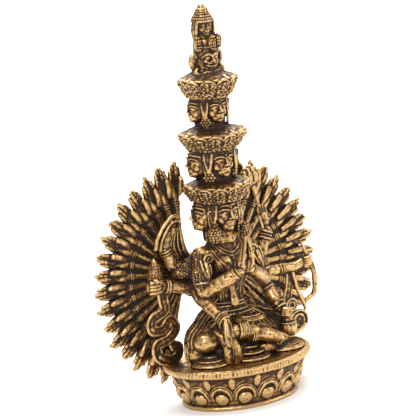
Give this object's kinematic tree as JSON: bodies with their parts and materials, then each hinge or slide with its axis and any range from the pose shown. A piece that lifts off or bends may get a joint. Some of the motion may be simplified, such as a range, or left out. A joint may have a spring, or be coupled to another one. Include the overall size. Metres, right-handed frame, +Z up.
{
  "type": "avalokiteshvara statue",
  "caption": "Seated cast brass deity with a tower of heads, eight main arms and a fan of hands behind it, on an oval lotus base.",
  "frame": {"origin": "middle of the lotus base's flat underside, under the middle of its oval plan", "axes": "+Z up, the figure faces -Y, its right hand is at -X"},
  "size_m": [0.1543, 0.0644, 0.23],
  "materials": {
    "golden_brass": "cast brass, raised parts rubbed bright golden, recesses patinated near black",
    "dark_brass": "cast brass, darker brown patina between the arms, hands and rims rubbed golden"
  },
  "bodies": {
    "root": {"figure_on_lotus_base": "golden_brass", "fan_of_arms": "dark_brass"}
  },
  "joints": []
}
